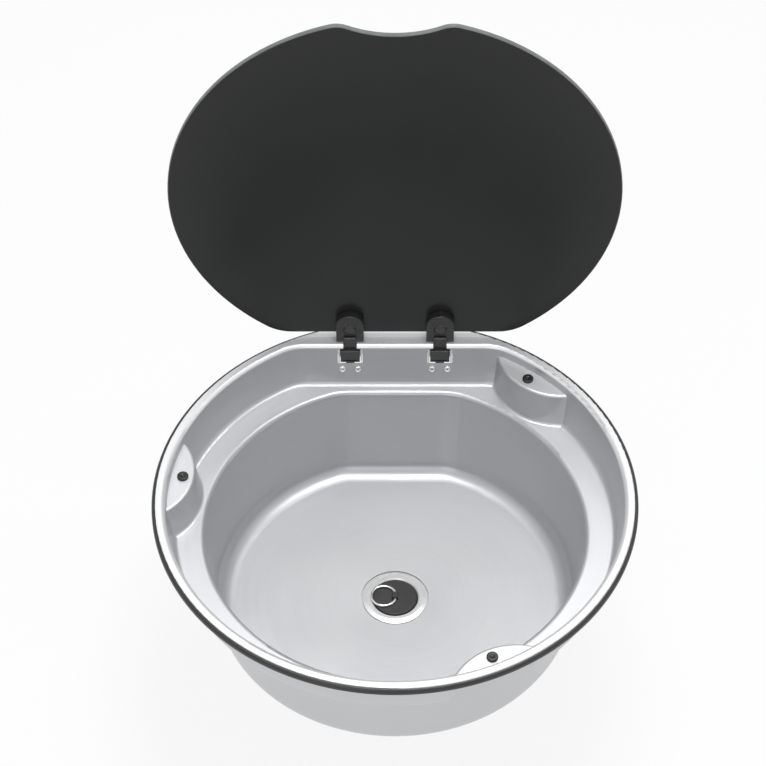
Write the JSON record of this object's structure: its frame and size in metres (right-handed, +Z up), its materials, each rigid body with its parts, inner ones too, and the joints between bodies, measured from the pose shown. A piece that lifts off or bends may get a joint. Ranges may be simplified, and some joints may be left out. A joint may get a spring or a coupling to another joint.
{
  "type": "drop-in sink with glass lid",
  "caption": "Round pressed steel sink for a worktop cut-out, with a stepped rim, rubber seal, hinged tinted glass lid and a plug waste with hose elbow.",
  "frame": {"origin": "centre of the seat, on the worktop surface under the rim seal", "axes": "+Z up out of the cut-out, +Y towards the lid hinges, +X to the right of a person at the front"},
  "size_m": [0.4259, 0.426, 0.6],
  "materials": {
    "basin_steel": "satin pressed stainless steel",
    "seal_rubber": "matt black rubber",
    "bumper_rubber": "smooth black rubber",
    "tinted_glass": "dark tinted toughened glass",
    "hinge_black": "satin black coated metal",
    "clamp_black": "satin black plastic",
    "bolt_black": "satin black",
    "bracket_steel": "plain stainless",
    "pin_steel": "turned steel",
    "screw_steel": "bright steel",
    "nylon": "natural nylon",
    "pad_rubber": "matt black rubber",
    "insert_brass": "turned brass",
    "waste_chrome": "polished",
    "gasket_rubber": "black rubber",
    "waste_plastic": "moulded black plastic",
    "nut_plastic": "moulded black plastic",
    "plug_plastic": "moulded black",
    "plug_rubber": "black rubber",
    "ring_chrome": "polished wire"
  },
  "bodies": {
    "basin_body": {"basin": "basin_steel", "rim_seal": "seal_rubber", "bumper_right": "bumper_rubber", "bumper_left": "bumper_rubber", "bumper_front": "bumper_rubber", "waste_flange": "waste_chrome", "waste_gasket_upper": "gasket_rubber", "waste_gasket_lower": "gasket_rubber", "waste_cup": "waste_plastic", "waste_centre_screw": "screw_steel", "union_washer": "gasket_rubber", "union_nut": "nut_plastic", "waste_elbow": "waste_plastic", "left_bracket": "bracket_steel", "left_bracket_screws": "screw_steel", "left_pin": "pin_steel", "left_pin_clip": "pin_steel", "left_friction_washers": "nylon", "right_bracket": "bracket_steel", "right_bracket_screws": "screw_steel", "right_pin": "pin_steel", "right_pin_clip": "pin_steel", "right_friction_washers": "nylon"},
    "lid": {"lid_glass": "tinted_glass", "left_arm": "hinge_black", "left_clamp_body": "clamp_black", "left_glass_pads": "pad_rubber", "left_glass_bush": "nylon", "left_clamp_plate": "clamp_black", "left_clamp_insert": "insert_brass", "left_clamp_bolt": "bolt_black", "right_arm": "hinge_black", "right_clamp_body": "clamp_black", "right_glass_pads": "pad_rubber", "right_glass_bush": "nylon", "right_clamp_plate": "clamp_black", "right_clamp_insert": "insert_brass", "right_clamp_bolt": "bolt_black"},
    "plug_body": {"plug": "plug_plastic", "plug_seal": "plug_rubber"},
    "ring": {"plug_ring": "ring_chrome"}
  },
  "joints": [
    {"name": "lid_hinge", "type": "hinge", "parent": "basin_body", "child": "lid", "pos_m": [0, 0.1859, -0.0063], "axis": [1, 0, 0], "range_deg": [0, 90]},
    {"name": "plug_lift", "type": "slide", "parent": "basin_body", "child": "plug_body", "axis": [0, 0, 1], "range_m": [0, 0.06]},
    {"name": "ring_swing", "type": "hinge", "parent": "plug_body", "child": "ring", "pos_m": [0, 0, -0.1378], "axis": [0, 1, 0], "range_deg": [0, 180]}
  ]
}
